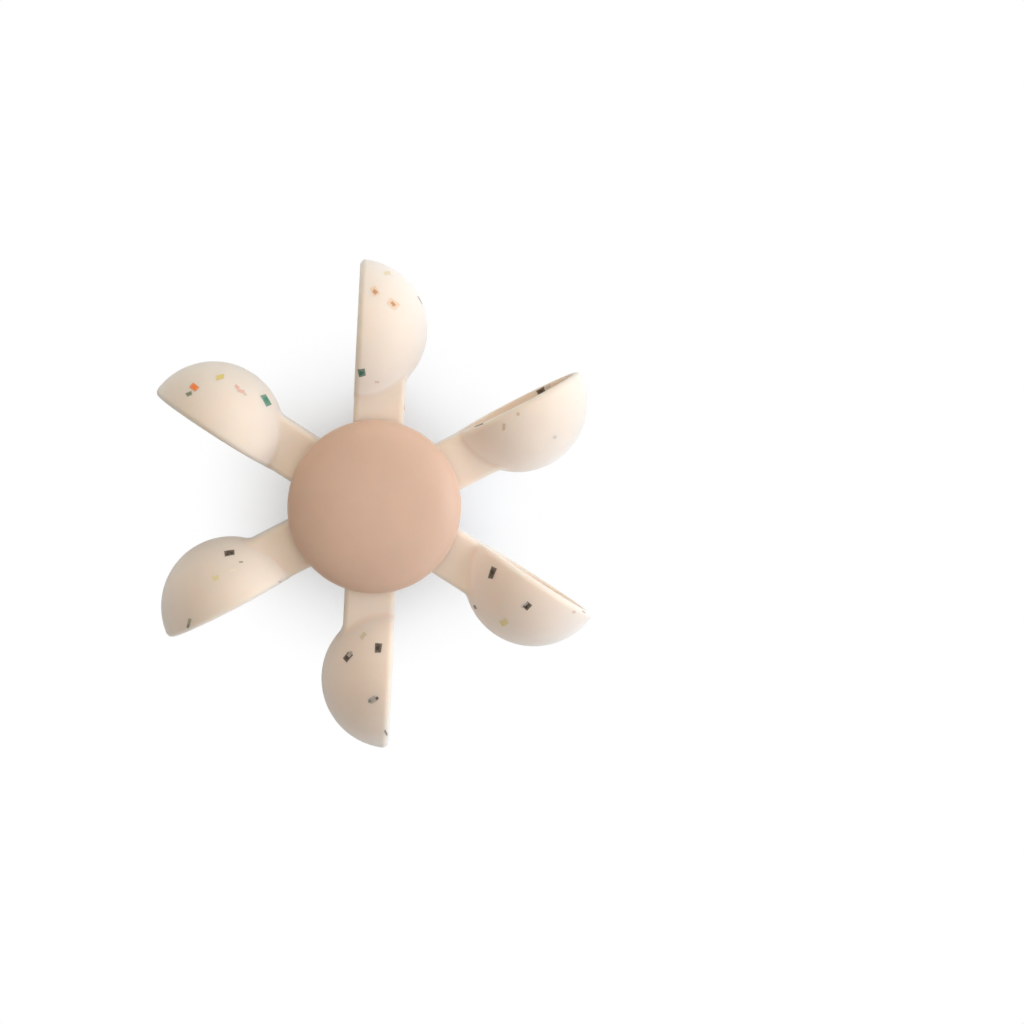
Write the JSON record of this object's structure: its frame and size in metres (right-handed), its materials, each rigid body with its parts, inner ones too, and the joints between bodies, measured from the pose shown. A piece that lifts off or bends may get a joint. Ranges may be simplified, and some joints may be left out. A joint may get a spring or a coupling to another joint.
{
  "type": "bath water wheel",
  "caption": "Child's bath water wheel: round scoop paddles on a domed hub that spins freely on a suction cup.",
  "frame": {"origin": "centre of the suction cup's sealing lip, on the plane that meets the wall", "axes": "+Z along the axle, out of the wall towards the hub cap; +Y along the first paddle's arm"},
  "size_m": [0.146, 0.16, 0.0545],
  "materials": {
    "cream_silicone": "matte cream silicone with coloured chips",
    "blush_silicone": "matte blush silicone",
    "blush_plastic": "satin moulded plastic",
    "suction_silicone": "soft satin silicone",
    "white_plastic": "satin moulded plastic",
    "acetal": "smooth natural acetal",
    "stainless_steel": "passivated stainless steel"
  },
  "bodies": {
    "mount": {"suction_cup": "suction_silicone", "axle_post": "white_plastic", "thrust_washer": "acetal", "retaining_washer": "stainless_steel", "axle_screw": "stainless_steel"},
    "wheel": {"hub_rear_shell": "blush_plastic", "hub_front_shell": "blush_plastic", "hub_cap": "blush_silicone", "rear_bush": "acetal", "front_bush": "acetal", "hub_screw_1": "stainless_steel", "hub_screw_2": "stainless_steel", "hub_screw_3": "stainless_steel", "hub_screw_4": "stainless_steel", "hub_screw_5": "stainless_steel", "hub_screw_6": "stainless_steel", "paddle_1": "cream_silicone", "paddle_2": "cream_silicone", "paddle_3": "cream_silicone", "paddle_4": "cream_silicone", "paddle_5": "cream_silicone", "paddle_6": "cream_silicone"}
  },
  "joints": [
    {"name": "wheel_spin", "type": "hinge", "parent": "mount", "child": "wheel", "pos_m": [0, 0, 0.031], "axis": [0, 0, 1], "continuous": true}
  ]
}
